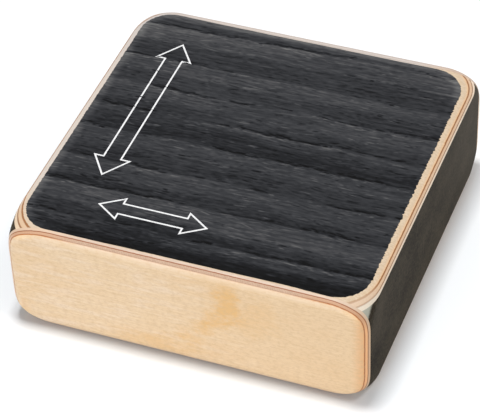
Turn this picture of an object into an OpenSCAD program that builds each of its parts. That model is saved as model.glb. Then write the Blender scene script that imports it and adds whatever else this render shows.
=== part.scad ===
// Box shaker: six glued panels of thin plywood and fibreboard, rounded over all round,
// divided inside into parallel channels that hold loose steel shot.
// Frame: millimetres, +Z up, origin at the middle of the underside, front panel at -Y.

/* [Body] */
// Width across the front
body_w = 100; // [80:1:130]
// Depth from front to back
body_d = 100; // [80:1:130]
// Height from the underside to the top
body_h = 33.5; // [28:0.5:45]

/* [Panels] */
// Thickness of one ply of the three-ply sheet
ply_t = 0.83; // [0.6:0.01:1.1]
// Thickness of the left and right side boards
side_t = 3; // [2:0.1:5]

/* [Edges] */
// Radius of the round-over along every edge
edge_r = 3.6; // [2.5:0.1:5]
// Distance from each face to the middle of the ball that softens a corner
corner_inset = 9; // [7:0.5:11]

/* [Channels] */
// Thickness of a divider slat
divider_t = 2.5; // [1.5:0.1:4]

/* [Shot] */
// Diameter of one steel ball
shot_d = 4; // [2.5:0.1:4.2]
// Balls of one charge, counted along its channel
charge_length = 8; // [3:1:12]
// Space left between neighbouring balls
shot_gap = 0.15; // [0.1:0.05:0.4]
// Space left between a ball and the floor it lies on
floor_gap = 0.1; // [0.05:0.05:0.3]

/* [Hidden] */

$fn = 64;

// Plies in one sheet, counted from the outside: face, core, inner
plies = 3;
panel_t = plies * ply_t;

// Channels between the side boards, one more than the dividers
channels = 5;
inner_w = body_w - 2 * side_t;
inner_d = body_d - 2 * panel_t;
inner_h = body_h - 2 * panel_t;
channel_w = (inner_w - (channels - 1) * divider_t) / channels;
channel_pitch = channel_w + divider_t;

// The corner ball is the smallest one that leaves the straight round-overs whole
corner_clear = 0.05;
corner_r = sqrt(2) * (corner_inset - (1 - sqrt(1 / 2)) * edge_r) + corner_clear;
// How far a cutting block reaches past the body
past = 5;

// Lanes of balls across a channel: one for the lead ball, two for the charge
lanes = 3;
shot_pitch = shot_d + shot_gap;
shot_z = panel_t + floor_gap + shot_d / 2;

birch = [0.91, 0.80, 0.66];
birch_core = [0.85, 0.71, 0.58];
stain_black = [0.16, 0.15, 0.15];
board_brown = [0.27, 0.26, 0.24];
slat_pale = [0.82, 0.72, 0.57];
steel = [0.72, 0.73, 0.75];

// Middle of channel n, counted from 0 at the left
function channel_x(n) = (n - (channels - 1) / 2) * channel_pitch;
// Middle of lane n of a channel, measured from the channel's own middle
function lane_x(n) = (n - (lanes - 1) / 2) * shot_pitch;

// Rectangle about the origin with corners of radius edge_r
module rounded_outline(w, h) {
    square([w - 2 * edge_r, h], center = true);
    square([w, h - 2 * edge_r], center = true);
    for (x = [-1, 1], y = [-1, 1]) {
        translate([x * (w / 2 - edge_r), y * (h / 2 - edge_r)])
            circle(r = edge_r);
    }
}

// Block at one corner, hollowed by the corner ball: what sanding takes off there
module corner_waste(x, y, z) {
    reach = corner_inset + past;
    translate([
        x * (body_w / 2 - corner_inset),
        y * (body_d / 2 - corner_inset),
        body_h / 2 + z * (body_h / 2 - corner_inset)
    ])
        difference() {
            translate([x, y, z] * reach / 2)
                cube(reach, center = true);
            sphere(r = corner_r);
        }
}

// The whole outside form: a box rounded over along its edges and softened at its corners
module envelope() {
    difference() {
        intersection() {
            linear_extrude(body_h)
                rounded_outline(body_w, body_d);
            translate([0, body_d / 2, body_h / 2])
                rotate([90, 0, 0])
                    linear_extrude(body_d)
                        rounded_outline(body_w, body_h);
            translate([-body_w / 2, 0, body_h / 2])
                rotate([90, 0, 90])
                    linear_extrude(body_w)
                        rounded_outline(body_d, body_h);
        }
        for (x = [-1, 1], y = [-1, 1], z = [-1, 1]) {
            corner_waste(x, y, z);
        }
    }
}

// Ply n of the top sheet, counted from 0 at the outside; it lies between front and back
module top_ply(n) {
    intersection() {
        envelope();
        translate([-body_w / 2 - past, -inner_d / 2, body_h - (n + 1) * ply_t])
            cube([body_w + 2 * past, inner_d, ply_t]);
    }
}

// Ply n of the bottom sheet, counted from 0 at the underside
module bottom_ply(n) {
    intersection() {
        envelope();
        translate([-body_w / 2 - past, -inner_d / 2, n * ply_t])
            cube([body_w + 2 * past, inner_d, ply_t]);
    }
}

// Ply n of the front sheet, counted from 0 at the outside; it covers every other panel's end
module front_ply(n) {
    intersection() {
        envelope();
        translate([-body_w / 2 - past, -body_d / 2 + n * ply_t, -past])
            cube([body_w + 2 * past, ply_t, body_h + 2 * past]);
    }
}

// Ply n of the back sheet, counted from 0 at the outside
module back_ply(n) {
    intersection() {
        envelope();
        translate([-body_w / 2 - past, body_d / 2 - (n + 1) * ply_t, -past])
            cube([body_w + 2 * past, ply_t, body_h + 2 * past]);
    }
}

// Side board, boxed in by the four sheets; x is -1 for the left and 1 for the right
module side_board(x) {
    intersection() {
        envelope();
        translate([x * (body_w / 2 - side_t / 2), 0, body_h / 2])
            cube([side_t, inner_d, inner_h], center = true);
    }
}

// Slat after channel n, standing between the bottom and top sheets
module divider(n) {
    translate([channel_x(n) + channel_pitch / 2, 0, body_h / 2])
        cube([divider_t, inner_d, inner_h], center = true);
}

module ball(x, y) {
    translate([x, y, shot_z])
        sphere(d = shot_d);
}

// Two lanes of balls that run along channel n together
module charge(n) {
    for (lane = [1 : lanes - 1], i = [0 : charge_length - 1]) {
        ball(channel_x(n) + lane_x(lane), (i - (charge_length - 1) / 2) * shot_pitch);
    }
}

module top_face_ply() { color(stain_black) top_ply(0); }
module top_core_ply() { color(birch_core) top_ply(1); }
module top_inner_ply() { color(birch) top_ply(2); }
module bottom_face_ply() { color(stain_black) bottom_ply(0); }
module bottom_core_ply() { color(birch_core) bottom_ply(1); }
module bottom_inner_ply() { color(birch) bottom_ply(2); }
module front_face_ply() { color(birch) front_ply(0); }
module front_core_ply() { color(birch_core) front_ply(1); }
module front_inner_ply() { color(birch) front_ply(2); }
module back_face_ply() { color(birch) back_ply(0); }
module back_core_ply() { color(birch_core) back_ply(1); }
module back_inner_ply() { color(birch) back_ply(2); }
module left_side() { color(board_brown) side_board(-1); }
module right_side() { color(board_brown) side_board(1); }
module divider_1() { color(slat_pale) divider(0); }
module divider_2() { color(slat_pale) divider(1); }
module divider_3() { color(slat_pale) divider(2); }
module divider_4() { color(slat_pale) divider(3); }

// One ball in every channel, in the first lane
module lead_shot() {
    color(steel)
        for (n = [0 : channels - 1]) {
            ball(channel_x(n) + lane_x(0), 0);
        }
}

module shot_charge_1() { color(steel) charge(0); }
module shot_charge_2() { color(steel) charge(1); }
module shot_charge_3() { color(steel) charge(2); }
module shot_charge_4() { color(steel) charge(3); }
module shot_charge_5() { color(steel) charge(4); }

top_face_ply();
top_core_ply();
top_inner_ply();
bottom_face_ply();
bottom_core_ply();
bottom_inner_ply();
front_face_ply();
front_core_ply();
front_inner_ply();
back_face_ply();
back_core_ply();
back_inner_ply();
left_side();
right_side();
divider_1();
divider_2();
divider_3();
divider_4();
lead_shot();
shot_charge_1();
shot_charge_2();
shot_charge_3();
shot_charge_4();
shot_charge_5();
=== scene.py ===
"""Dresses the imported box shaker: smooth rounded plies, stained and bare wood, light and camera."""
import math

import bmesh
import bpy
import numpy as np
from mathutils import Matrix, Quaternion, Vector


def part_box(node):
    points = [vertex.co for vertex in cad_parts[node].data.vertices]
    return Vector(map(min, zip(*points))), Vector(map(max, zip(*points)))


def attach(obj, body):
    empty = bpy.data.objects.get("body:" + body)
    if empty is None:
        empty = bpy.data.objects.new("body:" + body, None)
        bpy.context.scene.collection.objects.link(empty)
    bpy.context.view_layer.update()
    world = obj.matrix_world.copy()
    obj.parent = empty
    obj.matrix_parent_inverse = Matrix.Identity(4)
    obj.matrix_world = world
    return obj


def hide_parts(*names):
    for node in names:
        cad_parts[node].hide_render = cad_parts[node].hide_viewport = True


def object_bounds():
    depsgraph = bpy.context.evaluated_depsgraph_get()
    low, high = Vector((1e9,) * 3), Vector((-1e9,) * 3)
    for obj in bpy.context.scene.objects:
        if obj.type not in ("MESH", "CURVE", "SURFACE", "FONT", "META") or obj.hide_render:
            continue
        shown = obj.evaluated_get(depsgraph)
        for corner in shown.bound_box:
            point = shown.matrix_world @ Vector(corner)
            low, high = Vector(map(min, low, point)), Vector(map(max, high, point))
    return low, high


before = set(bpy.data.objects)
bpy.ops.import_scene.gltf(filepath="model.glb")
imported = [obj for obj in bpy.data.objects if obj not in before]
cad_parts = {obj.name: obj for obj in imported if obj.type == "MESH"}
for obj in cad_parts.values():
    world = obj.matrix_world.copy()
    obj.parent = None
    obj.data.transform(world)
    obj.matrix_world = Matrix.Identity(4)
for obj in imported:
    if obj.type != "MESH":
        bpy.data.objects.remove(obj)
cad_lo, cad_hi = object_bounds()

# Lengths in the shape code are in millimetres; meshes are scaled to metres when they are made.
MM = 0.001
LOW = np.array(cad_lo) / MM
HIGH = np.array(cad_hi) / MM
HALF = (HIGH - LOW) / 2
MID = (HIGH + LOW) / 2
X, Y, Z = 0, 1, 2

# Outside form: the round-over along the top and bottom edges is swept round wide corners, which
# are longer along the sides than along the front. With the depth below the face, both lengths
# fall off to the plain round-over of the upright edges. The rear edges were sanded less.
EDGE_R = 3.0
EDGE_R_REAR = 2.2
UPRIGHT_LEFT = 3.6
UPRIGHT_RIGHT = 3.3
UPRIGHT_REAR = 2.0
CORNER_X_LEFT = 8.0
CORNER_X_RIGHT = 7.0
CORNER_X_DEPTH = 3.0
CORNER_Y_LEFT = 10.8
CORNER_Y_RIGHT = 9.7
CORNER_Y_DEPTH = 4.3
# Rays that find the form's sides start at this distance inside them, and rays that find its top
# start at this depth below the first glue line
CORE_INSET = 11.0
RAY_START = 0.5
# Halvings that cut a ray to the form
HALVINGS = 40
# A flat face is taken to start this far below the form's own plane
FLAT_EDGE = 0.0005
# Each corner was sanded by hand: radius of the stain's outline there, by its side in X and Y
STAIN_CORNER = {(-1, -1): 9.2, (1, -1): 8.8, (1, 1): 9.9, (-1, 1): 7.7}

# Relief of the stained faces; it fades out where less than RELIEF_FADE of the ply is left
SKIN_DROP = 0.03
PORE_DEPTH = 0.11
BAND_DEPTH = 0.05
RELIEF_FADE = 0.35
GRAIN_TILT = math.radians(1.2)

# Layers of a ply's mesh, and steps along it: length of the dense ends, steps there and between them
OUTER_PLY_LAYERS = 14
PLY_LAYERS = 8
SIDE_STEPS = (8.0, 24, 30)
HEIGHT_STEPS = (7.0, 22, 10)
# Stained faces: rows and columns, and the dense ends as a share of the half width, with their steps
FACE_STEPS = {"top": (760, 300), "bottom": (520, 180)}
ACROSS_MARGIN = 0.09
ACROSS_MARGIN_STEPS = 26
# Spacing in the dense ends; below 1, points crowd towards the tips
MARGIN_POWER = 0.8
# Edges sharper than this stay sharp
SHARP_ANGLE = math.radians(30)


def smooth(value):
    """Smooth step of an array from 0 to 1."""
    value = np.clip(value, 0.0, 1.0)
    return value * value * (3.0 - 2.0 * value)


def span(node, axis):
    """Extent of a CAD node along one axis."""
    low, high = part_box(node)
    return low[axis] / MM, high[axis] / MM


def drawn_in(depth, radius):
    """How far a round-over draws the outline in, at a depth below the face."""
    left = np.maximum(radius - depth, 0.0)
    return radius - np.sqrt(np.maximum(radius**2 - left**2, 0.0))


def stain_run(x, y):
    """Distance in plan past the stain's outline, below zero within it."""
    right = np.where(y < 0, STAIN_CORNER[1, -1], STAIN_CORNER[1, 1])
    left = np.where(y < 0, STAIN_CORNER[-1, -1], STAIN_CORNER[-1, 1])
    corner = np.where(x < 0, left, right)
    off_x = corner + EDGE_R - HALF[X] + np.abs(x - MID[X])
    off_y = corner + EDGE_R - HALF[Y] + np.abs(y - MID[Y])
    past = np.hypot(np.maximum(off_x, 0.0), np.maximum(off_y, 0.0))
    return past + np.minimum(np.maximum(off_x, off_y), 0.0) - corner


def outside(x, y, z):
    """Below zero inside the outside form, above zero outside it."""
    depth = np.maximum(HALF[Z] - np.abs(z - MID[Z]), 0.0)
    left = np.asarray(x) < 0
    rear = np.asarray(y) > 0
    inset_x = drawn_in(depth, EDGE_R)
    inset_y = np.where(rear, drawn_in(depth, EDGE_R_REAR), inset_x)
    upright = np.where(rear, UPRIGHT_REAR, np.where(left, UPRIGHT_LEFT, UPRIGHT_RIGHT))
    extra_x = np.where(left, CORNER_X_LEFT, CORNER_X_RIGHT)
    extra_y = np.where(left, CORNER_Y_LEFT, CORNER_Y_RIGHT)
    long_x = upright + extra_x * np.exp(-((depth / CORNER_X_DEPTH) ** 2))
    long_y = upright + extra_y * np.exp(-((depth / CORNER_Y_DEPTH) ** 2))
    off_x = long_x + inset_x - HALF[X] + np.abs(x - MID[X])
    off_y = long_y + inset_y - HALF[Y] + np.abs(y - MID[Y])
    return np.hypot(np.maximum(off_x, 0.0) / long_x, np.maximum(off_y, 0.0) / long_y) - 1.0


def reach(place, low, high):
    """Largest value between low and high whose place() is still inside the form."""
    low = np.array(low, dtype=float)
    high = np.array(high, dtype=float)
    for _ in range(HALVINGS):
        middle = (low + high) / 2
        inside = outside(*place(middle)) < 0
        low = np.where(inside, middle, low)
        high = np.where(inside, high, middle)
    return low


def ends_dense(half, margin, margin_steps, middle_steps):
    """Places from -half to half, closer together within margin of both ends."""
    end = half - margin * (1 - np.linspace(0, 1, margin_steps + 1) ** MARGIN_POWER)
    middle = np.linspace(-(half - margin), half - margin, middle_steps + 1)
    return np.concatenate([-end[::-1], middle[1:-1], end])


def layers(depth_from, depth_to, steps):
    """Depths below a face, spaced evenly along the round-over's arc."""
    angle_from = math.acos(max(1 - depth_from / EDGE_R, -1))
    angle_to = math.acos(max(1 - depth_to / EDGE_R, -1))
    return EDGE_R * (1 - np.cos(np.linspace(angle_from, angle_to, steps + 1)))


def linked(name, data):
    """A new object in the scene."""
    made = bpy.data.objects.new(name, data)
    bpy.context.scene.collection.objects.link(made)
    return made


class Build:
    """Collects points and faces, and turns them into one piece that rides on the box."""

    def __init__(self):
        self.points = []
        self.faces = []
        self.count = 0

    def grid(self, x, y, z):
        """Adds a grid of points with its faces, and gives back the points' numbers."""
        numbers = self.add(x, y, z)
        self.skin(numbers)
        return numbers

    def skin(self, numbers):
        """Joins a grid of points with four-sided faces."""
        quads = np.stack([numbers[:-1, :-1], numbers[1:, :-1], numbers[1:, 1:], numbers[:-1, 1:]], -1)
        self.faces.extend(quads.reshape(-1, 4).tolist())

    def add(self, x, y, z):
        """Adds points alone."""
        x, y, z = np.broadcast_arrays(x, y, z)
        numbers = np.arange(x.size).reshape(x.shape) + self.count
        self.points.append(np.stack([x.ravel(), y.ravel(), z.ravel()], -1))
        self.count += x.size
        return numbers

    def cap(self, *runs):
        """One flat face through runs of points."""
        self.faces.append([int(n) for run in runs for n in run])

    def piece(self, name, material, replaced, slot):
        """Makes the mesh object, dressed and riding on the box."""
        mesh = bpy.data.meshes.new(name)
        mesh.from_pydata((np.concatenate(self.points) * MM).tolist(), [], self.faces)
        work = bmesh.new()
        work.from_mesh(mesh)
        bmesh.ops.recalc_face_normals(work, faces=work.faces)
        work.to_mesh(mesh)
        work.free()
        mesh.shade_smooth()
        mesh.set_sharp_from_angle(angle=SHARP_ANGLE)
        mesh.materials.append(material)
        made = linked(name, mesh)
        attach(made, "box")
        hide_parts(replaced)
        return made


def store(piece, name, values):
    """Keeps one number per point on a piece, for its material."""
    layer = piece.data.attributes.new(name, "FLOAT", "POINT")
    layer.data.foreach_set("value", np.asarray(values, dtype=np.float32).ravel())


# Grain of the stained faces, drawn once on a raster along the grain and looked up from there.
# The veneer is ring-porous: rows of open pores, each row with a painted glint, between pale and dark
# zones.
# A painted glint is pale streaks just in front of a pore row, standing in for light on the pores'
# walls.
RASTER_X = 0.2
RASTER_Y = 0.06
RASTER_HALF = 60.0
RASTER_ROWS = int(2 * RASTER_HALF / RASTER_Y)
RASTER_COLUMNS = int(2 * RASTER_HALF / RASTER_X)
raster_y = np.arange(RASTER_ROWS) * RASTER_Y - RASTER_HALF
raster_x = np.arange(RASTER_COLUMNS) * RASTER_X - RASTER_HALF
rng = np.random.default_rng(7)


def blend(grid, row, column, part_y, part_x):
    """Value between four neighbouring points of a grid."""
    low = grid[row, column] * (1 - part_x) + grid[row, column + 1] * part_x
    high = grid[row + 1, column] * (1 - part_x) + grid[row + 1, column + 1] * part_x
    return low * (1 - part_y) + high * part_y


def soft_noise(step_y, step_x):
    """Smooth noise on the raster, with lumps of about the given size."""
    at_y = np.arange(RASTER_ROWS)[:, None] * RASTER_Y / step_y
    at_x = np.arange(RASTER_COLUMNS)[None, :] * RASTER_X / step_x
    row = at_y.astype(int)
    column = at_x.astype(int)
    coarse = rng.random((row.max() + 2, column.max() + 2))
    return blend(coarse, row, column, smooth(at_y - row), smooth(at_x - column))


def even_noise(step_y, step_x):
    """Soft noise with mean 0 and spread 1."""
    made = soft_noise(step_y, step_x)
    return (made - made.mean()) / made.std()


def soft_line(step_x):
    """Noise along the grain, one number per column."""
    knots = np.arange(-RASTER_HALF - step_x, RASTER_HALF + 2 * step_x, step_x)
    return np.interp(raster_x, knots, rng.random(knots.size))


# How many of its half widths a streak is drawn out to
STREAK_REACH = 2.2


def draw_streak(raster, x, y, half_length, half_width, strength, slant):
    """One thin streak along the grain, tapered at both ends."""
    tall = STREAK_REACH * half_width + abs(slant) * half_length
    column_0, column_1 = np.searchsorted(raster_x, [x - half_length, x + half_length])
    row_0, row_1 = np.searchsorted(raster_y, [y - tall, y + tall])
    if column_1 - column_0 < 2 or row_1 - row_0 < 2:
        return
    off_x = raster_x[column_0:column_1] - x
    taper = np.sqrt(np.clip(1 - (off_x / half_length) ** 2, 0, 1))[None, :]
    off_y = raster_y[row_0:row_1, None] - y - slant * off_x[None, :]
    streak = strength * taper * np.exp(-((off_y / half_width) ** 2))
    part = raster[row_0:row_1, column_0:column_1]
    np.maximum(part, streak, out=part)


def random_streak(raster, x, y, kind):
    """One streak of a kind."""
    lengths, widths, strengths, power, slant = kind
    half_length = rng.uniform(*lengths)
    half_width = rng.uniform(*widths)
    strength = rng.uniform(*strengths) ** power
    draw_streak(raster, x, y, half_length, half_width, strength, rng.normal(0, slant))


# Growth rings: a ring line has zone n in front of it and zone n + 1 behind it
RING_STEP = (3.8, 7.8)
RING_WIDTH = (0.25, 2.2)
RINGS_BEFORE = 5.0
RINGS_PAST = 8.0
PALE_ZONE = (0.6, 1.0)
DARK_ZONE = (0.0, 0.35)
rings = [-RASTER_HALF - RINGS_BEFORE]
while rings[-1] < RASTER_HALF + RINGS_PAST:
    rings.append(rings[-1] + rng.uniform(*RING_STEP))
rings = np.array(rings)
pale_zones = rng.uniform(*PALE_ZONE, rings.size + 1)
dark_zones = rng.uniform(*DARK_ZONE, rings.size + 1)
zone_level = np.where(np.arange(rings.size + 1) % 2 == 0, pale_zones, dark_zones)
ring_width = rng.uniform(*RING_WIDTH, rings.size)
zone = np.full(RASTER_ROWS, zone_level[0])
for n, ring in enumerate(rings):
    zone = zone + (zone_level[n + 1] - zone_level[n]) * smooth((raster_y - ring) / ring_width[n] + 0.5)
ring_behind = np.clip(np.searchsorted(rings, raster_y), 1, rings.size - 1)
ring_gap = rings[ring_behind] - rings[ring_behind - 1]
fade = 1 - smooth(((rings[ring_behind] - raster_y) / ring_gap - 0.05) / 0.7)
zone_raster = zone[:, None] * (0.6 + 0.8 * soft_noise(5.0, 40.0))
zone_raster += 0.35 * (fade[:, None] - 0.4) * soft_noise(6.0, 30.0)

# Kinds of streak: ranges of half length, half width and strength, the strength's power, and slant
PORE = ((0.3, 1.6), (0.08, 0.30), (0.15, 1.0), 1.0, 0.09)
PORE_GLINT = ((0.3, 1.6), (0.07, 0.17), (0.15, 1.0), 1.6, 0.10)
LONE_PORE = ((0.3, 1.6), (0.08, 0.18), (0.1, 0.75), 1.5, 0.08)
SCRATCH = ((0.3, 2.2), (0.06, 0.15), (0.1, 0.9), 1.7, 0.10)
PORE_STEP = 0.2
PORE_CHANCE = 0.7
GLINT_CHANCE = 0.3
GLINT_LEAST_CHANCE = 0.025
GLINT_OFFSET = 0.28
pore_raster = np.zeros((RASTER_ROWS, RASTER_COLUMNS))
glint_and_scratch_raster = np.zeros((RASTER_ROWS, RASTER_COLUMNS))
for n, ring in enumerate(rings):
    share = np.clip(zone_level[n] - zone_level[n + 1] + 0.5, 0.15, 1.0) * rng.uniform(0.6, 1.0)
    crowd = smooth((0.6 * soft_line(14.0) + 0.4 * soft_line(4.0) - 0.40) / 0.3) * share
    edge = ring + 0.7 * (soft_line(7.0) - 0.5) + 0.7 * (soft_line(1.8) - 0.5)
    thick = 0.4 + 1.5 * soft_line(8.0) ** 2
    for x in np.arange(-RASTER_HALF, RASTER_HALF - PORE_STEP, PORE_STEP):
        at = int((x + RASTER_HALF) / RASTER_X)
        if rng.random() < PORE_CHANCE * crowd[at]:
            random_streak(pore_raster, x, edge[at] + rng.random() * thick[at], PORE)
        # Painted glint: pale streaks just in front of the pore row
        if rng.random() < GLINT_LEAST_CHANCE + GLINT_CHANCE * crowd[at]:
            random_streak(glint_and_scratch_raster, x, edge[at] - GLINT_OFFSET - rng.random() ** 2, PORE_GLINT)

# Pores and pale scratches away from the ring lines
LONE_PORE_COUNT = 2200
SCRATCH_COUNT = 4200
for _ in range(LONE_PORE_COUNT):
    x, y = rng.uniform(-RASTER_HALF, RASTER_HALF, 2)
    random_streak(pore_raster, x, y, LONE_PORE)
for _ in range(SCRATCH_COUNT):
    x, y = rng.uniform(-RASTER_HALF, RASTER_HALF, 2)
    pale = np.interp(y, raster_y, zone)
    if rng.random() < 0.08 + 0.92 * max(pale, 0.0) ** 1.5:
        random_streak(glint_and_scratch_raster, x, y, SCRATCH)

# Lightness of the stain, in screen values, and the wandering of the grain
STAIN_BASE = 42.0
STAIN_ZONES = 22
STAIN_FINE = 6.0
STAIN_BROAD = 2.0
STAIN_PORES = 50
STAIN_GLINTS_AND_SCRATCHES = 52
STAIN_RANGE = (10, 122)
STAIN_FULL = 128.0
fine = 0.6 * even_noise(0.5, 14.0) + 0.5 * even_noise(0.35, 3.0) + 0.6 * even_noise(0.4, 1.1)
stain_raster = STAIN_BASE + STAIN_ZONES * zone_raster + STAIN_FINE * fine
stain_raster += STAIN_BROAD * even_noise(14.0, 50.0)
# Painted glints and pale scratches lighten the stain; pores darken it
stain_raster += STAIN_GLINTS_AND_SCRATCHES * glint_and_scratch_raster - STAIN_PORES * pore_raster
stain_raster = np.clip(stain_raster, *STAIN_RANGE) / STAIN_FULL
wander_raster = soft_noise(13.0, 24.0) + 0.45 * soft_noise(4.0, 9.0)
wander_raster -= wander_raster.mean()


def read_raster(raster, x, y):
    """Raster value at places, between its points."""
    rows, columns = raster.shape
    at_y = np.clip((y + RASTER_HALF) / RASTER_Y, 0, rows - 2)
    at_x = np.clip((x + RASTER_HALF) / RASTER_X, 0, columns - 2)
    row = at_y.astype(int)
    column = at_x.astype(int)
    return blend(raster, row, column, at_y - row, at_x - column)


def look_up(raster, x, y):
    """Raster value at places on the face, along the wandering grain."""
    along = y - math.tan(GRAIN_TILT) * x - read_raster(wander_raster, x, y)
    return read_raster(raster, x, along)


def srgb(red, green, blue):
    """Linear colour from 0 to 255 screen values."""
    values = []
    for value in (red, green, blue):
        part = value / 255
        values.append(part / 12.92 if part <= 0.04045 else ((part + 0.055) / 1.055) ** 2.4)
    return (*values, 1.0)


# Share of a line's half width within which it has its full strength
LINE_CORE = 0.4


class Value:
    """A number or colour in a material's node tree; numbers take plain arithmetic."""

    def __init__(self, shade, socket):
        self.shade = shade
        self.socket = socket

    def __add__(self, other):
        return self.shade.math("ADD", self, other)

    def __radd__(self, other):
        return self.shade.math("ADD", other, self)

    def __sub__(self, other):
        return self.shade.math("SUBTRACT", self, other)

    def __rsub__(self, other):
        return self.shade.math("SUBTRACT", other, self)

    def __mul__(self, other):
        return self.shade.math("MULTIPLY", self, other)

    def __truediv__(self, other):
        return self.shade.math("DIVIDE", self, other)

    def __abs__(self):
        return self.shade.math("ABSOLUTE", self)

    def step(self, low, high):
        """Smooth step from 0 at low to 1 at high."""
        inputs = {"Value": self, "From Min": low, "From Max": high}
        return self.shade.node("MapRange", 0, inputs, interpolation_type="SMOOTHSTEP")


class Shade:
    """A material's node tree, with short calls for the nodes used here. Lengths are millimetres."""

    def __init__(self, name, roughness):
        self.material = bpy.data.materials.new(name)
        self.material.use_nodes = True
        self.tree = self.material.node_tree
        self.shader = self.tree.nodes["Principled BSDF"]
        self.shader.inputs["Roughness"].default_value = roughness
        coordinates = self.node("TexCoord", "Object", {})
        to_mm = {0: coordinates, "Scale": 1 / MM}
        self.place = self.node("VectorMath", 0, to_mm, operation="SCALE")
        parts = self.tree.nodes.new("ShaderNodeSeparateXYZ")
        self.feed(parts.inputs[0], self.place)
        self.axes = [Value(self, socket) for socket in parts.outputs]
        self.x, self.y, self.z = self.axes

    def feed(self, socket, value):
        """Links a socket or sets its value."""
        if isinstance(value, Value):
            self.tree.links.new(value.socket, socket)
        else:
            socket.default_value = value

    def node(self, kind, output, inputs, **settings):
        """One output of a new node with the given settings and inputs."""
        node = self.tree.nodes.new("ShaderNode" + kind)
        for name, setting in settings.items():
            setattr(node, name, setting)
        for name, value in inputs.items():
            self.feed(node.inputs[name], value)
        return Value(self, node.outputs[output])

    def math(self, operation, first, second=0.0):
        """One operation on one or two numbers."""
        return self.node("Math", 0, {0: first, 1: second}, operation=operation)

    def noise(self, stretch, scale, detail, roughness=0.5):
        """Noise from 0 to 1, with the place multiplied by stretch along each axis."""
        place = self.node("VectorMath", 0, {0: self.place, 1: stretch}, operation="MULTIPLY")
        inputs = {"Vector": place, "Scale": scale, "Detail": detail, "Roughness": roughness}
        return self.node("TexNoise", "Fac", inputs)

    def mix(self, share, first, second):
        """Blend of two colours."""
        return self.node("Mix", 2, {0: share, 6: first, 7: second}, data_type="RGBA")

    def tint(self, colour, share, tone):
        """Colour shifted to a tone, which is given with the most of it that shows."""
        second, most = tone
        return self.mix(share * most, colour, second)

    def ramp(self, value, stops):
        """Colour along a scale: stops are places from 0 to 1 with their colours."""
        node = self.tree.nodes.new("ShaderNodeValToRGB")
        scale = node.color_ramp
        while len(scale.elements) < len(stops):
            scale.elements.new(0.5)
        for element, (place, colour) in zip(scale.elements, stops):
            element.position = place
            element.color = colour
        self.feed(node.inputs[0], value)
        return Value(self, node.outputs[0])

    def stored(self, name):
        """A number kept on the mesh."""
        return self.node("Attribute", "Fac", {}, attribute_name=name)

    def depth(self, axis):
        """Distance below the nearer of the two outside faces across an axis."""
        return float(HALF[axis]) - abs(self.axes[axis] - float(MID[axis]))

    def line(self, value, middle, half_width):
        """1 on a line of the given half width, 0 away from it."""
        return abs(value - middle).step(half_width, half_width * LINE_CORE)

    def finish(self, colour, roughness, height, height_mm):
        """Joins colour, fine relief and, where it varies, roughness to the shader."""
        self.feed(self.shader.inputs["Base Color"], colour)
        if roughness is not None:
            self.feed(self.shader.inputs["Roughness"], roughness)
        bump = self.node("Bump", 0, {"Distance": height_mm * MM, "Height": height})
        self.feed(self.shader.inputs["Normal"], bump)
        return self.material


# Thickness of one ply, and the glue lines in a sheet: their depths, half width and wander
PLY = span("front_face_ply", Y)[1] - LOW[Y]
GLUE_DEPTHS = (PLY, 2 * PLY)
GLUE_HALF = 0.18
GLUE_WANDER = 0.12
# Along the level edges, to these depths, the outer glue line is faint, and glue has its own colour
# at the front, and a paler one at the back that is painted sheen
LEVEL_EDGE = (0.9, 5.0)
GLUE_FAINT = 0.25
GLUE_FRONT = srgb(140, 84, 46)
GLUE_BACK_SHEEN = srgb(176, 158, 146)
FRONT_TO_BACK = (-10.0, 10.0)

# Front corners, where most was sanded off: where they set in, and how much colours and glue change
CORNER_RUN_X = (27.0, 40.0)
CORNER_RUN_Y = (-37.0, -44.0)
CORNER_SHIFT = 0.75
CORNER_GLUE_LOSS = 0.5

# Painted sheen: wood paler and greyer towards the left, less so in front, and along the level edges of
# the back
SHEEN_RUN = (10.0, 46.0)
SHEEN_SHARE = 0.8
SHEEN_FRONT_RUN = (-48.0, -26.0)
SHEEN_FRONT_LEAST = 0.2
SHEEN_BACK_DEPTH = (2.4, 1.0)
SHEEN_BACK_END = (44.0, 30.0)
SHEEN_LEFT_COLOUR = srgb(203, 194, 187)
SHEEN_BACK_COLOUR = srgb(190, 182, 177)

# Upright edges: depths and places in X between which their colours set in
UPRIGHT_DEPTH = (3.0, 8.0)
UPRIGHT_RUN = (10.0, 40.0)

# Noise values between which fibres go from pale to deep
FIBRE_RUN = (0.3, 0.7)

# Hatch of cut fibres on the core plies: slant, wander and frequency per millimetre
HATCH_SLANT = 0.9
HATCH_WANDER = 0.9
HATCH_FREQUENCY = 9.5

# Colours of the plies' edges, and what they shift to at the front corners and upright edges, which
# are given for the left and the right; the paler left upright colours are painted light
SIDES = (-1, 1)
FRONT_CORE_TONES = {
    "pale": srgb(192, 161, 137),
    "deep": srgb(174, 143, 119),
    "glue": srgb(160, 98, 50),
    "corners": (srgb(198, 152, 118), srgb(190, 144, 108)),
    "uprights_and_painted_light": (srgb(246, 216, 188), srgb(240, 181, 128)),
}
FRONT_INNER_TONES = {
    "pale": srgb(204, 181, 162),
    "deep": srgb(190, 165, 144),
    "glue": srgb(150, 98, 58),
    "corners": (srgb(208, 178, 150), srgb(198, 172, 146)),
    "uprights_and_painted_light": (srgb(240, 218, 196), srgb(214, 178, 142)),
}
TOP_CORE_TONES = {
    "pale": srgb(221, 189, 157),
    "deep": srgb(204, 168, 134),
    "glue": srgb(146, 98, 58),
    "corners": (srgb(206, 174, 140), srgb(200, 176, 152)),
}
TOP_INNER_TONES = {
    "pale": srgb(242, 221, 197),
    "deep": srgb(228, 204, 178),
    "glue": srgb(132, 92, 60),
    "corners": (srgb(214, 188, 156), srgb(204, 194, 178)),
}


def along_grain(axis, share):
    """Stretch of noise that runs along one axis."""
    stretch = [1.0, 1.0, 1.0]
    stretch[axis] = share
    return tuple(stretch)


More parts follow.
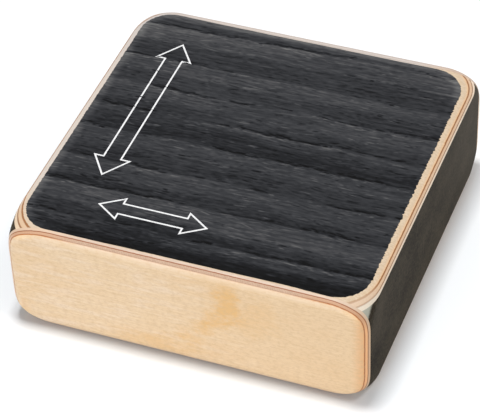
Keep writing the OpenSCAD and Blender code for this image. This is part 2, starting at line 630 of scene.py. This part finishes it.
def corner_share(shade, side):
    """1 at the front corner on the left (side -1) or right (side 1), 0 away from it."""
    return shade.y.step(*CORNER_RUN_Y) * (shade.x * side).step(*CORNER_RUN_X)


def glue_share(shade, axis):
    """1 on the glue lines of a sheet whose plies lie across the axis."""
    wander = shade.noise((0.9, 0.9, 0.9), 1.0, 2.0) - 0.5
    depth = shade.depth(axis) + wander * GLUE_WANDER
    outer, inner = [shade.line(depth, glue, GLUE_HALF) for glue in GLUE_DEPTHS]
    if axis == Y:
        corners = shade.math("MAXIMUM", corner_share(shade, -1), corner_share(shade, 1))
        full = shade.math("MAXIMUM", shade.depth(Z).step(*LEVEL_EDGE), corners)
        outer *= full * (1 - GLUE_FAINT) + GLUE_FAINT
        return shade.math("MAXIMUM", outer, inner)
    kept = 1.0 - corner_share(shade, 1) * CORNER_GLUE_LOSS
    return shade.math("MAXIMUM", outer, inner) * kept


def edge_glue(shade, axis, glue):
    """Glue colour: darker along the level edge of the front, paler with painted sheen along that of the
    back.
    """
    if axis == Z:
        return glue
    level = shade.mix(shade.y.step(*FRONT_TO_BACK), GLUE_FRONT, GLUE_BACK_SHEEN)
    return shade.mix(shade.depth(Z).step(*LEVEL_EDGE), level, glue)


def painted_sheen_left(shade, colour):
    """Painted sheen: paler, greyer wood towards the left."""
    share = (shade.x * -1).step(*SHEEN_RUN) * SHEEN_SHARE
    rear = shade.y.step(*SHEEN_FRONT_RUN)
    rear = rear * (1 - SHEEN_FRONT_LEAST) + SHEEN_FRONT_LEAST
    return shade.mix(share * rear, colour, SHEEN_LEFT_COLOUR)


def painted_sheen_back(shade, colour):
    """Painted sheen: paler, greyer wood along the level edges of the back, except at their right end.
    """
    share = shade.y.step(*SHEEN_RUN) * SHEEN_SHARE
    share *= shade.depth(Z).step(*SHEEN_BACK_DEPTH)
    share *= shade.x.step(*SHEEN_BACK_END)
    return shade.mix(share, colour, SHEEN_BACK_COLOUR)


def upright_share(shade, side):
    """1 along the upright edges at the left (side -1) or right (side 1), 0 along the level ones."""
    return shade.depth(Z).step(*UPRIGHT_DEPTH) * (shade.x * side).step(*UPRIGHT_RUN)


def worked_edge(shade, axis, colour, tones):
    """A ply's edge with painted sheen, sanded corners, upright colours (painted light on the left) and
    glue lines.
    """
    colour = painted_sheen_left(shade, colour) if axis == Z else painted_sheen_back(shade, colour)
    for side, tone in zip(SIDES, tones["corners"]):
        colour = shade.mix(corner_share(shade, side) * CORNER_SHIFT, colour, tone)
    if axis == Y:
        # The paler colour on the left upright edges is painted light, where they face away from the
        # lamps
        for side, tone in zip(SIDES, tones["uprights_and_painted_light"]):
            colour = shade.mix(upright_share(shade, side), colour, tone)
    return shade.mix(glue_share(shade, axis), colour, edge_glue(shade, axis, tones["glue"]))


def ply_wood(name, axis, grain, tones):
    """Inner ply of bare birch: fine grain and cloudy tone."""
    shade = Shade(name, 0.5)
    fibres = shade.noise(along_grain(grain, 0.07), 3.2, 4.0, 0.6)
    clouds = shade.noise((0.05, 0.05, 0.05), 1.0, 3.0)
    tone = fibres * 0.6 + clouds * 0.4
    colour = shade.mix(tone.step(*FIBRE_RUN), tones["pale"], tones["deep"])
    colour = worked_edge(shade, axis, colour, tones)
    return shade.finish(colour, 0.42 + fibres * 0.16, fibres, 0.012)


def end_grain_wood(name, axis, along, tones):
    """Core ply: slanting hatch of cut fibres along the edge."""
    shade = Shade(name, 0.55)
    wander = shade.noise((0.6, 0.6, 0.6), 1.0, 2.0)
    slant = shade.axes[along] + shade.depth(axis) * HATCH_SLANT + wander * HATCH_WANDER
    hatch = shade.math("SINE", slant * HATCH_FREQUENCY) * 0.25 + 0.5
    speckle = shade.noise((1.0, 1.0, 1.0), 2.6, 3.0, 0.6)
    tone = hatch * 0.25 + speckle * 0.75
    colour = shade.mix(tone.step(*FIBRE_RUN), tones["pale"], tones["deep"])
    colour = worked_edge(shade, axis, colour, tones)
    return shade.finish(colour, 0.48 + speckle * 0.16, tone, 0.02)


# Birch face of the front and back: colours, some with the most of them that shows
BIRCH_PALE = srgb(240, 214, 180)
BIRCH_DEEP = srgb(226, 195, 154)
BIRCH_CLOUD = (srgb(228, 190, 142), 0.35)
BIRCH_FLECK = (srgb(208, 170, 126), 0.25)
BIRCH_WARM = (srgb(230, 193, 146), 0.35)
BIRCH_STREAK = (srgb(238, 215, 191), 0.6)
BIRCH_FIGURE = srgb(229, 184, 122)
BIRCH_RIGHT_RIM = (srgb(231, 172, 113), 0.85)
# Painted highlight tone on the level edge, and painted shade in a strip just below it
BIRCH_EDGE_HIGHLIGHT = (srgb(226, 206, 188), 0.6)
BIRCH_BELOW_EDGE_SHADE = (srgb(211, 184, 151), 0.5)
BIRCH_GLUE = srgb(186, 112, 50)
BIRCH_SPECKLE = (srgb(210, 175, 132), 0.42)
# Places in X between which the face grows warmer to the right, and pale streaks show to the left
WARM_RUN = (-45.0, 35.0)
STREAK_RUN = (30.0, -10.0)
# Warm right rim, in X, and the depths of the painted highlight tone on the level edge and of the
# painted shade below it
RIGHT_RIM = (float(HIGH[X]) - 5.0, float(HIGH[X]) - 0.5)
EDGE_HIGHLIGHT_DEPTH = (2.6, 0.6)
SHADE_STRIP_TOP = (0.8, 1.5)
SHADE_STRIP_FOOT = (2.8, 1.7)
# Warm figure: places in X and Z, with half width, half height and strength
FIGURE_SPOTS = (
    (12.0, 27.5, 5.0, 5.0, 0.6),
    (12.4, 23.0, 5.0, 5.5, 0.9),
    (8.8, 17.5, 4.4, 3.8, 0.85),
    (5.2, 14.0, 4.2, 3.0, 0.7),
    (1.4, 10.0, 4.4, 3.0, 0.6),
    (19.5, 22.0, 8.0, 8.0, 0.45),
    (-8.0, 4.5, 15.0, 4.2, 0.6),
    (-46.0, 6.0, 3.0, 5.0, 0.4),
)
FIGURE_CLOUD = 2.4
FIGURE_RUN = (2.5, 1.2)


def figure(shade):
    """Soft warm patches with cloudy edges."""
    cloud = shade.noise((0.2, 0.2, 0.3), 1.0, 5.0, 0.7) * FIGURE_CLOUD
    total = 0.0
    for x, z, half_x, half_z, strength in FIGURE_SPOTS:
        off_x = (shade.x - x) / half_x
        off_z = (shade.z - z) / half_z
        far = shade.math("SQRT", off_x * off_x + off_z * off_z) + cloud
        total += far.step(*FIGURE_RUN) * strength
    return shade.math("MINIMUM", total, 1.0)


def birch_colour(shade, fibres):
    """Colour of the birch face away from its rims: fine level grain, clouds, streaks and figure."""
    clouds = shade.noise((0.03, 0.03, 0.05), 1.0, 3.0, 0.55).step(0.5, 0.68)
    flecks = shade.noise(along_grain(X, 0.25), 2.2, 2.0, 0.6).step(0.62, 0.72)
    warm = shade.x.step(*WARM_RUN)
    streaks = shade.noise((0.07, 0.3, 0.6), 1.0, 4.0, 0.6).step(0.48, 0.62)
    streaks *= shade.x.step(*STREAK_RUN)
    colour = shade.mix(fibres.step(*FIBRE_RUN), BIRCH_PALE, BIRCH_DEEP)
    colour = shade.tint(colour, clouds, BIRCH_CLOUD)
    colour = shade.tint(colour, flecks, BIRCH_FLECK)
    colour = shade.tint(colour, warm, BIRCH_WARM)
    colour = shade.tint(colour, streaks, BIRCH_STREAK)
    return shade.mix(figure(shade), colour, BIRCH_FIGURE)


def face_wood(name):
    """Smooth birch face: warm right rim, painted highlight tone on the level edges with painted shade
    below, painted sheen at the back, fine speckle.
    """
    shade = Shade(name, 0.45)
    fibres = shade.noise(along_grain(X, 0.06), 3.0, 4.0, 0.6)
    depth = shade.depth(Z)
    right_rim = shade.x.step(*RIGHT_RIM)
    # Painted highlight tone on the level edge, and painted shade just below it
    edge = depth.step(*EDGE_HIGHLIGHT_DEPTH)
    painted_shade_strip = depth.step(*SHADE_STRIP_FOOT) * depth.step(*SHADE_STRIP_TOP)
    speckle = shade.noise(along_grain(X, 0.6), 1.1, 3.0, 0.7).step(0.42, 0.66)
    colour = birch_colour(shade, fibres)
    colour = shade.tint(colour, right_rim, BIRCH_RIGHT_RIM)
    colour = shade.tint(colour, edge, BIRCH_EDGE_HIGHLIGHT)
    colour = shade.tint(colour, painted_shade_strip, BIRCH_BELOW_EDGE_SHADE)
    colour = painted_sheen_back(shade, colour)
    colour = shade.mix(glue_share(shade, Y), colour, BIRCH_GLUE)
    colour = shade.tint(colour, speckle, BIRCH_SPECKLE)
    return shade.finish(colour, 0.36 + fibres * 0.18, fibres, 0.01)


# Stain: colour by lightness, and painted sheen: how much lighter it lies towards the back, per
# millimetre
STAIN_STOPS = (
    (0.09, srgb(4, 4, 5)),
    (0.27, srgb(24, 25, 28)),
    (0.45, srgb(49, 50, 53)),
    (0.59, srgb(67, 67, 69)),
    (0.78, srgb(92, 92, 92)),
    (0.94, srgb(114, 113, 112)),
)
STAIN_REAR_SHEEN = 0.0013
# Broad paler and darker bands: place in Y, half width and change of lightness
STAIN_BANDS = (
    (48.0, 6.0, 0.08),
    (15.0, 7.0, 0.05),
    (0.0, 9.0, -0.10),
    (-15.0, 7.0, 0.015),
    (-34.0, 7.0, 0.035),
)
# Painted shade: a darker strip along the front. Painted sheen: lighter stain by the outline at the left
# and the rear
FRONT_SHADE_RUN = (float(LOW[Y]) + 13.0, float(LOW[Y]) + 4.0)
FRONT_SHADE_CHANGE = -0.19
RIM_SHEEN_RUN_X = (-30.0, -42.0)
RIM_SHEEN_RUN_Y = (30.0, 42.0)
RIM_SHEEN_OUTLINE = (-2.6, -0.2)
RIM_SHEEN_CHANGE = 0.2
# Outline of the stain: soak along the grain, with longer teeth at the right, and its lean outwards
SOAK = 0.7
TEETH = 0.7
TEETH_RUN_X = (28.0, 42.0)
TEETH_RUN_Y = (43.0, 33.0)
PORE_SOAK = 0.15
LEAN_LEFT = -0.0045
LEAN_RIGHT = 0.33
LEAN_RIGHT_RUN = (25.0, 42.0)
LEAN_ENDS = 0.12
LEAN_ENDS_RUN = (38.0, 46.0)
OUTLINE_BLUR = (0.10, 0.20)
# Bare wood past the outline; it is warmer where it is cut deeper, away from the front edge
BARE_PALE = srgb(209, 190, 166)
BARE_DEEP = srgb(196, 173, 145)
BARE_WARM = (srgb(228, 187, 146), 0.7)
BARE_GLUE = srgb(150, 102, 62)
WARM_CUT = (0.2, 0.7)
WARM_CUT_RUN_Y = (-48.0, -34.0)


def stain_colour(shade, run, fibres):
    """Colour of the stain: grain kept on the mesh, broad bands, painted shade along the front, painted
    sheen at the back and by the left and rear outline.
    """
    tone = shade.stored("stain") + (fibres - 0.5) * 0.06 + shade.y * STAIN_REAR_SHEEN
    for middle, half_width, change in STAIN_BANDS:
        tone += abs(shade.y - middle).step(half_width, 0.0) * change
    # Painted shade along the front
    tone += shade.y.step(*FRONT_SHADE_RUN) * FRONT_SHADE_CHANGE
    # Painted sheen near the outline at the left and the rear, where the round-over would catch the
    # light
    left = shade.x.step(*RIM_SHEEN_RUN_X)
    rear = shade.y.step(*RIM_SHEEN_RUN_Y)
    rim_sheen = shade.math("MAXIMUM", left, rear) * run.step(*RIM_SHEEN_OUTLINE)
    return shade.ramp(tone + rim_sheen * RIM_SHEEN_CHANGE, STAIN_STOPS)


def bare_share(shade, run, pore):
    """1 past the ragged outline of the stain, where it is sanded through."""
    grain_ends = shade.noise((0.03, 1.0, 0.1), 1.2, 3.0, 0.65)
    far_y = abs(shade.y)
    right = far_y.step(*TEETH_RUN_Y) * shade.x.step(*TEETH_RUN_X)
    soak = (grain_ends - 0.5) * (right * TEETH + SOAK) + pore * PORE_SOAK
    lean = shade.x * LEAN_LEFT
    lean += shade.x.step(*LEAN_RIGHT_RUN) * LEAN_RIGHT
    lean += far_y.step(*LEAN_ENDS_RUN) * LEAN_ENDS
    return (run - (soak + lean)).step(*OUTLINE_BLUR)


def bare_colour(shade, cut):
    """Colour of the bare wood past the outline of the stain."""
    fibres = shade.noise(along_grain(X, 0.3), 2.6, 3.0, 0.6)
    colour = shade.mix(fibres.step(*FIBRE_RUN), BARE_PALE, BARE_DEEP)
    warm = cut.step(*WARM_CUT) * shade.y.step(*WARM_CUT_RUN_Y)
    colour = shade.tint(colour, warm, BARE_WARM)
    colour = painted_sheen_left(shade, colour)
    colour = painted_sheen_back(shade, colour)
    return shade.mix(glue_share(shade, Z), colour, BARE_GLUE)


def stained_wood(name):
    """Open-pored veneer under a thin black stain, sanded through where the edge is rounded."""
    shade = Shade(name, 0.45)
    shade.shader.inputs["Specular IOR Level"].default_value = 0.05
    pore = shade.stored("pore")
    run = shade.stored("run")
    fibres = shade.noise(along_grain(X, 0.05), 3.4, 4.0, 0.62)
    black = stain_colour(shade, run, fibres)
    bare = bare_colour(shade, shade.stored("cut"))
    colour = shade.mix(bare_share(shade, run, pore), black, bare)
    rough = 0.36 + fibres * 0.2 + pore * 0.15
    return shade.finish(colour, rough, fibres, 0.02)


# Side boards: painted light, paler towards the rear; a dark line at the joints and a pale rub at one
# corner
BOARD_DARK = srgb(27, 24, 19)
BOARD_LIGHT = srgb(82, 74, 62)
BOARD_REAR_SHEEN = (srgb(118, 110, 98), 0.2)
BOARD_JOINT = (srgb(44, 34, 25), 0.6)
BOARD_RUBBED = srgb(164, 163, 150)
BOARD_SHEEN_RUN = (0.0, 45.0)
JOINT_DEPTH = (2.95, 2.6)
RUB_RUN = (0.2, 0.9)


def board(name):
    """Dark brown-grey side board with a faint speckle and painted light towards the rear."""
    shade = Shade(name, 0.6)
    shade.shader.inputs["Specular IOR Level"].default_value = 0.02
    speckle = shade.noise((1.0, 0.5, 1.0), 1.7, 4.0, 0.65)
    clouds = shade.noise((0.06, 0.06, 0.1), 1.0, 3.0)
    tone = speckle * 0.6 + clouds * 0.4
    rear = shade.y.step(*BOARD_SHEEN_RUN)
    joint = shade.math("MAXIMUM", shade.depth(Z).step(*JOINT_DEPTH), shade.depth(Y).step(*JOINT_DEPTH))
    ragged = (speckle - 0.5) * 0.5
    rubbed = (shade.stored("wear") + ragged).step(*RUB_RUN)
    colour = shade.mix(tone.step(*FIBRE_RUN), BOARD_DARK, BOARD_LIGHT)
    colour = shade.tint(colour, rear, BOARD_REAR_SHEEN)
    colour = shade.tint(colour, joint, BOARD_JOINT)
    colour = shade.mix(rubbed, colour, BOARD_RUBBED)
    return shade.finish(colour, 0.5 + speckle * 0.2, speckle, 0.012)


def plain_wood(name, grain):
    """Slats inside the box."""
    shade = Shade(name, 0.6)
    fibres = shade.noise(along_grain(grain, 0.06), 2.4, 4.0, 0.6)
    colour = shade.mix(fibres.step(*FIBRE_RUN), srgb(226, 205, 170), srgb(206, 180, 140))
    return shade.finish(colour, None, fibres, 0.02)


def steel(name):
    """Shot: polished steel, lightly scuffed."""
    shade = Shade(name, 0.25)
    shade.shader.inputs["Metallic"].default_value = 1.0
    scuff = shade.noise((1.0, 1.0, 1.0), 1.2, 4.0, 0.6)
    colour = shade.mix(scuff.step(*FIBRE_RUN), srgb(205, 206, 208), srgb(180, 182, 186))
    return shade.finish(colour, 0.18 + scuff * 0.2, scuff, 0.01)


def ink(name):
    """Thin white print, a little uneven."""
    shade = Shade(name, 0.5)
    patchy = shade.noise(along_grain(X, 0.4), 2.5, 3.0, 0.6)
    colour = shade.mix(patchy.step(0.3, 0.75), srgb(236, 236, 236), srgb(206, 206, 208))
    return shade.finish(colour, None, patchy, 0.01)


stained = stained_wood("stained_veneer")
birch_face = face_wood("birch_face")
front_core = end_grain_wood("birch_core_front", Y, X, FRONT_CORE_TONES)
front_inner = ply_wood("birch_inner_front", Y, X, FRONT_INNER_TONES)
top_core = end_grain_wood("birch_core_top", Z, Y, TOP_CORE_TONES)
top_inner = ply_wood("birch_inner_top", Z, X, TOP_INNER_TONES)
side_board = board("side_board")
slat_wood = plain_wood("slat_wood", Y)
shot_steel = steel("shot_steel")
white_ink = ink("white_ink")


# Rim of a front or back sheet: points round the box's outline, by the angle of the ray that finds
# them, close together at the corners
RIM_DENSE_FROM = 24
RIM_CORNER = 45
RIM_SPARSE_POINTS = 8
RIM_DENSE_POINTS = 30
RIM_MIDDLE_X = 40
RIM_MIDDLE_Z = 10
sparse_angles = np.linspace(0, RIM_DENSE_FROM, RIM_SPARSE_POINTS)[:-1]
dense_angles = np.linspace(RIM_DENSE_FROM, RIM_CORNER, RIM_DENSE_POINTS)
rim_steps = CORE_INSET * np.tan(np.radians(np.concatenate([sparse_angles, dense_angles])))


def rim_side(half, middle_steps):
    """Places along one side of the outline, between its two corners."""
    core = half - CORE_INSET
    end = core + rim_steps
    return np.concatenate([-end[::-1], np.linspace(-core, core, middle_steps + 1)[1:-1], end])


across = rim_side(HALF[X], RIM_MIDDLE_X)
upright = rim_side(HALF[Z], RIM_MIDDLE_Z)
rim_x = np.concatenate([across[:-1], np.full(upright.size - 1, HALF[X])])
rim_x = np.concatenate([rim_x, -rim_x])
rim_z = np.concatenate([np.full(across.size - 1, -HALF[Z]), upright[:-1]])
rim_z = np.concatenate([rim_z, -rim_z])
core_x = np.clip(rim_x, CORE_INSET - HALF[X], HALF[X] - CORE_INSET)
core_z = np.clip(rim_z, CORE_INSET - HALF[Z], HALF[Z] - CORE_INSET)
ray_length = np.hypot(rim_x - core_x, rim_z - core_z)
ray_x = (rim_x - core_x) / ray_length
ray_z = (rim_z - core_z) / ray_length


def sheet_ring(y):
    """Outline of the form in the plane y."""
    def place(far):
        return core_x + far * ray_x, np.full(far.shape, y), core_z + far * ray_z + MID[Z]

    return place(reach(place, np.zeros(ray_length.shape), ray_length))


def sheet_ply(node, side, number, material, slot):
    """One ply of the front (side -1) or back (side 1) sheet, counted from 0 outside."""
    build = Build()
    steps = OUTER_PLY_LAYERS if number == 0 else PLY_LAYERS
    depths = layers(max(number * PLY, FLAT_EDGE), (number + 1) * PLY, steps)
    outlines = np.array([sheet_ring(y) for y in side * (HALF[Y] - depths)])
    numbers = build.add(outlines[:, X], outlines[:, Y], outlines[:, Z])
    build.skin(np.concatenate([numbers, numbers[:, :1]], axis=1))
    build.cap(numbers[0])
    build.cap(numbers[-1])
    build.piece(node + "_wood", material, node, slot)


def side_reach(side, y, z):
    """How far the form reaches to the left (side -1) or right (side 1) at places there."""
    y, z = np.broadcast_arrays(y, z)
    near = np.full(y.shape, HALF[X] - CORE_INSET)
    return reach(lambda x: (side * x, y, z), near, np.full(y.shape, HALF[X]))


def level_ply(node, depth_side, number, material, slot):
    """A hidden-faced ply of the top (depth_side 1) or bottom (-1) sheet: only its ends are curved."""
    build = Build()
    y = ends_dense(span(node, Y)[1], *SIDE_STEPS)[:, None]
    depths = layers(number * PLY, (number + 1) * PLY, PLY_LAYERS)
    z = (MID[Z] + depth_side * (HALF[Z] - depths))[None, :]
    right = build.grid(side_reach(1, y, z), y, z)
    left = build.grid(-side_reach(-1, y, z), y, z)
    build.cap(right[:, 0], left[::-1, 0])
    build.cap(right[:, -1], left[::-1, -1])
    build.cap(right[0], left[0, ::-1])
    build.cap(right[-1], left[-1, ::-1])
    build.piece(node + "_wood", material, node, slot)


def face_ply(node, depth_side, rows, columns):
    """The stained ply of the top (1) or bottom (-1) sheet, with pores and zones cut into its face."""
    build = Build()
    y_half = span(node, Y)[1]
    y = np.linspace(-y_half, y_half, rows)[:, None]
    base = HIGH[Z] - PLY
    right = side_reach(1, y, base)
    left = side_reach(-1, y, base)
    across_share = ends_dense(1.0, ACROSS_MARGIN, ACROSS_MARGIN_STEPS, columns)[None, :]
    x = np.where(across_share < 0, left, right) * across_share
    y = np.broadcast_to(y, x.shape)
    below = np.full(x.shape, base - RAY_START)
    surface = reach(lambda z: (x, y, z), below, np.full(x.shape, HIGH[Z]))
    surface[:, [0, -1]] = base
    cut = HIGH[Z] - surface
    run = stain_run(x, y)
    pore = look_up(pore_raster, x, y * depth_side)
    pale = np.clip(look_up(zone_raster, x, y * depth_side), 0, 1)
    room = smooth((surface - base) / RELIEF_FADE)
    relief = SKIN_DROP + PORE_DEPTH * pore + BAND_DEPTH * (1 - pale)
    z = surface - relief * room
    z = MID[Z] + depth_side * (z - MID[Z])
    face = build.grid(x, y, z)
    build.cap(face[:, 0], face[::-1, -1])
    build.cap(face[0])
    build.cap(face[-1])
    made = build.piece(node + "_wood", stained, node, "stained_ply")
    store(made, "cut", cut)
    store(made, "run", run)
    store(made, "pore", pore)
    store(made, "stain", look_up(stain_raster, x, y * depth_side))


# The pale rub on a side board, by how far the round-over has drawn the board in
RUB_START = 0.3
RUB_LENGTH = 0.9


def side_piece(node, side):
    """A side board: curved outside, flat where the sheets and the channels meet it."""
    build = Build()
    y_half = span(node, Y)[1]
    z_low, z_high = span(node, Z)
    y = ends_dense(y_half, *SIDE_STEPS)[:, None]
    z = MID[Z] + ends_dense((z_high - z_low) / 2, *HEIGHT_STEPS)[None, :]
    x = side_reach(side, y, z)
    outer = build.grid(side * x, y, z)
    inner_x = span(node, X)[0] if side > 0 else span(node, X)[1]
    y_corners = np.array([-y_half, y_half, y_half, -y_half])
    z_corners = np.array([z_low, z_low, z_high, z_high])
    inner = build.add(np.full(4, inner_x), y_corners, z_corners)
    build.cap(inner)
    build.cap(outer[:, 0], [inner[1], inner[0]])
    build.cap(outer[:, -1], [inner[2], inner[3]])
    build.cap(outer[0], [inner[3], inner[0]])
    build.cap(outer[-1], [inner[2], inner[1]])
    made = build.piece(node + "_panel", side_board, node, "side_board")
    rubbed_corner = (y < 0) & (z > MID[Z]) & (side > 0)
    rub = smooth((HALF[X] - x - RUB_START) / RUB_LENGTH) * rubbed_corner
    store(made, "wear", np.concatenate([rub.ravel(), np.zeros(inner.size)]))


for side, sheet in ((-1, "front"), (1, "back")):
    sheet_ply(sheet + "_face_ply", side, 0, birch_face, "birch_face")
    sheet_ply(sheet + "_core_ply", side, 1, front_core, "birch_core")
    sheet_ply(sheet + "_inner_ply", side, 2, front_inner, "birch_inner")
for side, sheet in ((1, "top"), (-1, "bottom")):
    face_ply(sheet + "_face_ply", side, *FACE_STEPS[sheet])
    level_ply(sheet + "_core_ply", side, 1, top_core, "birch_core")
    level_ply(sheet + "_inner_ply", side, 2, top_inner, "birch_inner")
side_piece("left_side", -1)
side_piece("right_side", 1)

# Pieces inside the box keep their CAD meshes; the first word of a name tells the material
INSIDE = {"divider": slat_wood, "lead": shot_steel, "shot": shot_steel}
for node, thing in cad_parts.items():
    kind = node.split("_")[0]
    if kind in INSIDE:
        thing.data.materials.clear()
        thing.data.materials.append(INSIDE[kind])


# Two plain printed arrows that show the two ways to shake: line width, depth of the ink below the
# top, its thickness, its cells and lanes, the pore that breaks it, and the join of its points
INK_WIDTH = 0.46
INK_TOP = 0.004
INK_THICK = 0.06
INK_CELL = 0.22
INK_LANES = 3
INK_BREAK = 0.55
INK_JOIN = 0.002
LONG_ARROW_PLACE = np.array([-33.0, 6.0])
SHORT_ARROW_PLACE = np.array([-14.0, -34.0])


def double_arrow(length, shaft, head, head_length):
    """Outline of a two-headed arrow along +Y about the origin."""
    half = length / 2
    neck = half - head_length
    right = [(0, half), (head / 2, neck), (shaft / 2, neck), (shaft / 2, -neck), (head / 2, -neck)]
    left = [(-x, -y) for x, y in right]
    return np.array(right + left, dtype=float)


def mitres(corners):
    """Offsets of a closed outline's corners for a line drawn 1 mm beside it."""
    out = np.roll(corners, -1, axis=0) - corners
    out = out / np.linalg.norm(out, axis=1)[:, None]
    normal_out = np.stack([-out[:, 1], out[:, 0]], -1)
    normal_in = np.roll(normal_out, 1, axis=0)
    mitre = normal_in + normal_out
    return mitre / np.sum(mitre * normal_in, axis=1)[:, None]


def print_outline(name, corners):
    """Prints a closed outline as a narrow line of ink, broken where it crosses deep pores."""
    mitre = mitres(corners)
    lane_edges = np.linspace(-INK_WIDTH / 2, INK_WIDTH / 2, INK_LANES + 1)
    top = HIGH[Z] - INK_TOP
    work = bmesh.new()
    for i in range(len(corners)):
        j = (i + 1) % len(corners)
        steps = max(int(np.linalg.norm(corners[j] - corners[i]) / INK_CELL), 1)
        share = np.linspace(0, 1, steps + 1)[:, None]
        for lane in range(INK_LANES):
            rows = []
            for edge in lane_edges[lane:lane + 2]:
                start = corners[i] + mitre[i] * edge
                end = corners[j] + mitre[j] * edge
                rows.append(start * (1 - share) + end * share)
            middle = (rows[0][:-1] + rows[1][1:]) / 2
            hollow = look_up(pore_raster, middle[:, 0], middle[:, 1])
            for n in range(steps):
                if hollow[n] > INK_BREAK:
                    continue
                loop = [rows[0][n], rows[1][n], rows[1][n + 1], rows[0][n + 1]]
                work.faces.new([work.verts.new((p[0] * MM, p[1] * MM, top * MM)) for p in loop])
    bmesh.ops.remove_doubles(work, verts=work.verts, dist=INK_JOIN * MM)
    grown = bmesh.ops.extrude_face_region(work, geom=list(work.faces))
    lowered = [part for part in grown["geom"] if isinstance(part, bmesh.types.BMVert)]
    bmesh.ops.translate(work, verts=lowered, vec=(0, 0, -INK_THICK * MM))
    bmesh.ops.recalc_face_normals(work, faces=work.faces)
    mesh = bpy.data.meshes.new(name)
    work.to_mesh(mesh)
    work.free()
    mesh.materials.append(white_ink)
    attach(linked(name, mesh), "box")


long_arrow = double_arrow(length=58.0, shaft=5.0, head=10.0, head_length=7.0)
short_arrow = double_arrow(length=30.0, shaft=4.0, head=8.0, head_length=6.0)[:, ::-1]
print_outline("print_long_arrow", long_arrow + LONG_ARROW_PLACE)
print_outline("print_short_arrow", short_arrow + SHORT_ARROW_PLACE)


# Stage, in metres: a white floor, a soft sky and soft boxes
FLOOR_COLOUR = (0.845, 0.865, 0.885, 1.0)
FLOOR_LIFT = 0.03
FLOOR_HALF = 6.0
FLOOR_LEVEL = -0.00004
WHITE = (1.0, 1.0, 1.0, 1.0)
SKY_LEVEL = 0.36
LAMP_AIM = Vector((0, 0, 0.02))


def seen_ray(tree):
    """1 for rays that show a surface: straight, mirrored or through glass."""
    path = tree.nodes.new("ShaderNodeLightPath")
    seen = path.outputs["Is Camera Ray"]
    for kind in ("Is Glossy Ray", "Is Transmission Ray"):
        either = tree.nodes.new("ShaderNodeMath")
        either.operation = "MAXIMUM"
        tree.links.new(seen, either.inputs[0])
        tree.links.new(path.outputs[kind], either.inputs[1])
        seen = either.outputs[0]
    return seen


def floor():
    """White floor that takes the object's shadow."""
    mesh = bpy.data.meshes.new("floor")
    corners = [
        (x * FLOOR_HALF, y * FLOOR_HALF, FLOOR_LEVEL)
        for x, y in ((-1, -1), (1, -1), (1, 1), (-1, 1))
    ]
    mesh.from_pydata(corners, [], [(0, 1, 2, 3)])
    material = bpy.data.materials.new("floor_white")
    material.use_nodes = True
    tree = material.node_tree
    shader = tree.nodes["Principled BSDF"]
    shader.inputs["Base Color"].default_value = FLOOR_COLOUR
    shader.inputs["Roughness"].default_value = 1.0
    shader.inputs["Specular IOR Level"].default_value = 0.0
    lift = tree.nodes.new("ShaderNodeMath")
    lift.operation = "MULTIPLY"
    lift.inputs[1].default_value = FLOOR_LIFT
    tree.links.new(seen_ray(tree), lift.inputs[0])
    shader.inputs["Emission Color"].default_value = WHITE
    tree.links.new(lift.outputs[0], shader.inputs["Emission Strength"])
    mesh.materials.append(material)
    linked("floor", mesh)


def soft_box(name, place, wide, tall, power, aimed=True):
    """Oblong area lamp that points at the box, or straight down with its width along X."""
    lamp = bpy.data.lights.new(name, "AREA")
    lamp.shape = "RECTANGLE"
    lamp.size = wide
    lamp.size_y = tall
    lamp.energy = power
    made = linked(name, lamp)
    made.location = place
    if aimed:
        made.rotation_euler = (LAMP_AIM - Vector(place)).to_track_quat("-Z", "Y").to_euler()


def sky():
    """Even soft light from all round; white where the camera sees it."""
    world = bpy.data.worlds.new("studio")
    bpy.context.scene.world = world
    world.use_nodes = True
    tree = world.node_tree
    light = tree.nodes["Background"]
    light.inputs["Color"].default_value = WHITE
    light.inputs["Strength"].default_value = SKY_LEVEL
    seen = tree.nodes.new("ShaderNodeBackground")
    seen.inputs["Color"].default_value = WHITE
    seen.inputs["Strength"].default_value = 1.0
    either = tree.nodes.new("ShaderNodeMixShader")
    tree.links.new(seen_ray(tree), either.inputs[0])
    tree.links.new(light.outputs[0], either.inputs[1])
    tree.links.new(seen.outputs[0], either.inputs[2])
    tree.links.new(either.outputs[0], tree.nodes["World Output"].inputs["Surface"])


floor()
sky()
soft_box("overhead", (-0.05, 0.012, 1.0), wide=0.2, tall=0.12, power=6.8, aimed=False)
soft_box("right", (0.42, -0.06, 0.9), wide=0.2, tall=0.2, power=1.6)
soft_box("front_fill", (-0.15, -1.0, 0.22), wide=0.5, tall=0.5, power=3.4)
soft_box("rear", (-0.22, 0.62, 0.62), wide=0.4, tall=0.4, power=0.3)

# Camera, read off the photograph's edges
CAMERA_PLACE = Vector((0.17966, -0.44516, 0.44437))
CAMERA_AIM = Vector((-0.000397, -0.007473, 0.016775))
CAMERA_ROLL = math.radians(-2.5424)
CAMERA_LENS = 177.25
CAMERA_SENSOR = 36.0
CAMERA_CLIP = (0.01, 20.0)

camera_data = bpy.data.cameras.new("camera")
camera_data.sensor_fit = "HORIZONTAL"
camera_data.sensor_width = CAMERA_SENSOR
camera_data.lens = CAMERA_LENS
camera_data.clip_start, camera_data.clip_end = CAMERA_CLIP
camera = linked("camera", camera_data)
camera.location = CAMERA_PLACE
turn = (CAMERA_AIM - CAMERA_PLACE).to_track_quat("-Z", "Y")
roll = Quaternion((0, 0, 1), CAMERA_ROLL)
camera.rotation_euler = (turn @ roll).to_euler()
bpy.context.scene.camera = camera
bpy.context.scene.view_settings.view_transform = "Standard"
